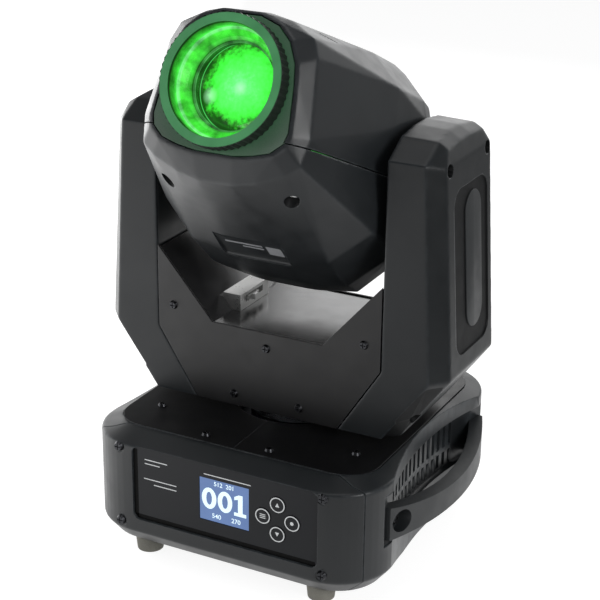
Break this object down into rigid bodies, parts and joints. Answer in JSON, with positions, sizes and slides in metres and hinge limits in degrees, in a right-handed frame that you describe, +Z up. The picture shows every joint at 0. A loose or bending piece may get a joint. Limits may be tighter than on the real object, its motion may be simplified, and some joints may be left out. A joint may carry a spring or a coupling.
{
  "type": "moving head light",
  "caption": "Stage moving head light: a rounded base with a control panel carries a two-armed yoke that pans, and a faceted head with a ringed lens that tilts.",
  "frame": {"origin": "on the floor under the pan axis, midway between the four feet, close to the centre of the whole object's footprint", "axes": "+Z up along the pan axis; the control panel faces -Y; the tilt axis runs along X; +X is the viewer's right when facing the panel"},
  "size_m": [0.2616, 0.2479, 0.387],
  "materials": {
    "cover_plastic": "satin, fine grain",
    "bezel_plastic": "satin, fine grain",
    "handle_plastic": "satin, fine grain",
    "panel_film": "satin printed film",
    "display": "lit window",
    "button": "satin",
    "black_sheet": "fine powder coat",
    "zinc_steel": "zinc plated",
    "screw_steel": "plated",
    "shaft_steel": "turned",
    "bearing_steel": "polished",
    "rubber": "matt, dusty",
    "belt_rubber": "matt",
    "motor_black": "satin",
    "pulley_plastic": "satin",
    "pulley_metal": "turned",
    "circuit_board": "solder mask",
    "socket_metal": "plated shell",
    "inlet_plastic": "satin",
    "lock_metal": "cast, satin",
    "front_plate": "fine powder coat",
    "ring_plastic": "black anodised, knurled",
    "barrel_black": "black anodised",
    "lens_glass": "polished",
    "led_white": "ceramic and phosphor",
    "heat_sink": "extruded",
    "fan_plastic": "satin",
    "wheel_metal": "satin"
  },
  "bodies": {
    "base": {"base_housing": "cover_plastic", "base_front_bezel": "bezel_plastic", "base_top_plate_left": "black_sheet", "base_top_plate_right": "black_sheet", "base_bottom_plate": "black_sheet", "rubber_feet": "rubber", "side_handle_left": "handle_plastic", "side_handle_right": "handle_plastic", "control_panel": "panel_film", "display_screen": "display", "control_board": "circuit_board", "base_chassis": "zinc_steel", "power_supply": "zinc_steel", "rear_connector_plate": "black_sheet", "power_inlet": "inlet_plastic", "data_in_socket": "socket_metal", "data_out_socket": "socket_metal", "pan_motor": "motor_black", "pan_belt": "belt_rubber", "pan_bearing": "bearing_steel", "base_screws": "screw_steel"},
    "yoke": {"yoke_frame": "zinc_steel", "yoke_tray": "black_sheet", "yoke_front_plate": "black_sheet", "yoke_rear_plate": "black_sheet", "arm_cover_left": "cover_plastic", "arm_cover_right": "cover_plastic", "arm_inner_cover_left": "cover_plastic", "arm_inner_cover_right": "cover_plastic", "pan_shaft": "shaft_steel", "pan_ring_pulley": "pulley_plastic", "tilt_motor": "motor_black", "tilt_belt": "belt_rubber", "tilt_bearings": "bearing_steel", "tilt_lock_block": "lock_metal", "yoke_screws": "screw_steel"},
    "head": {"head_top_cover": "cover_plastic", "head_bottom_cover": "cover_plastic", "head_front_plate": "front_plate", "head_chassis": "zinc_steel", "head_screws": "screw_steel", "tilt_trunnions": "shaft_steel", "tilt_ring_pulley": "pulley_plastic", "lens_barrel": "barrel_black", "led_module": "led_white", "heat_sink": "heat_sink", "head_fan_frame": "fan_plastic"},
    "pan_drive": {"pan_drive_pulley": "pulley_metal"},
    "tilt_drive": {"tilt_drive_pulley": "pulley_metal"},
    "button_up": {"button_up": "button"},
    "button_down": {"button_down": "button"},
    "button_menu": {"button_menu": "button"},
    "button_enter": {"button_enter": "button"},
    "tilt_lock": {"tilt_lock_slider": "lock_metal"},
    "focus_ring": {"focus_ring": "ring_plastic"},
    "lens_carriage": {"lens_carriage": "barrel_black", "front_lens": "lens_glass"},
    "fan_rotor": {"fan_rotor": "fan_plastic"},
    "colour_wheel": {"colour_wheel": "wheel_metal"},
    "gobo_wheel": {"gobo_wheel": "wheel_metal"}
  },
  "joints": [
    {"name": "pan", "type": "hinge", "parent": "base", "child": "yoke", "pos_m": [0, 0, 0.09], "axis": [0, 0, 1], "range_deg": [-270, 270]},
    {"name": "tilt", "type": "hinge", "parent": "yoke", "child": "head", "pos_m": [0, 0, 0.264], "axis": [1, 0, 0], "range_deg": [-165, 65]},
    {"name": "pan_drive", "type": "hinge", "parent": "base", "child": "pan_drive", "pos_m": [0, 0.074, 0.06], "axis": [0, 0, 1], "range_deg": [-1760, 1760]},
    {"name": "tilt_drive", "type": "hinge", "parent": "yoke", "child": "tilt_drive", "pos_m": [0.1, 0, 0.148], "axis": [1, 0, 0], "range_deg": [-720, 720]},
    {"name": "button_up_press", "type": "slide", "parent": "base", "child": "button_up", "axis": [0, 1, 0], "range_m": [0, 0.001], "stiffness_N_per_m": 600},
    {"name": "button_down_press", "type": "slide", "parent": "base", "child": "button_down", "axis": [0, 1, 0], "range_m": [0, 0.001], "stiffness_N_per_m": 600},
    {"name": "button_menu_press", "type": "slide", "parent": "base", "child": "button_menu", "axis": [0, 1, 0], "range_m": [0, 0.001], "stiffness_N_per_m": 600},
    {"name": "button_enter_press", "type": "slide", "parent": "base", "child": "button_enter", "axis": [0, 1, 0], "range_m": [0, 0.001], "stiffness_N_per_m": 600},
    {"name": "tilt_lock_slide", "type": "slide", "parent": "yoke", "child": "tilt_lock", "axis": [0, 1, 0], "range_m": [0, 0.008]},
    {"name": "focus_turn", "type": "hinge", "parent": "head", "child": "focus_ring", "pos_m": [0, -0.10291, 0.34619], "axis": [0, -0.9063, 0.4226], "range_deg": [-60, 60]},
    {"name": "lens_focus", "type": "slide", "parent": "head", "child": "lens_carriage", "axis": [0, 0.9063, -0.4226], "range_m": [-0.003, 0.003]},
    {"name": "fan_spin", "type": "hinge", "parent": "head", "child": "fan_rotor", "pos_m": [0, 0.06628, 0.24523], "axis": [0, 0.9063, -0.4226], "continuous": true},
    {"name": "colour_wheel_turn", "type": "hinge", "parent": "head", "child": "colour_wheel", "pos_m": [0, -0.00417, 0.26926], "axis": [0, -0.9063, 0.4226], "continuous": true},
    {"name": "gobo_wheel_turn", "type": "hinge", "parent": "head", "child": "gobo_wheel", "pos_m": [0, -0.01867, 0.27602], "axis": [0, -0.9063, 0.4226], "continuous": true}
  ],
  "couplings": [
    {"joint": "pan_drive", "follows": "pan", "ratio": 6.5},
    {"joint": "tilt_drive", "follows": "tilt", "ratio": 4.25},
    {"joint": "lens_focus", "follows": "focus_turn", "m_per_rad": 0.0028648}
  ]
}
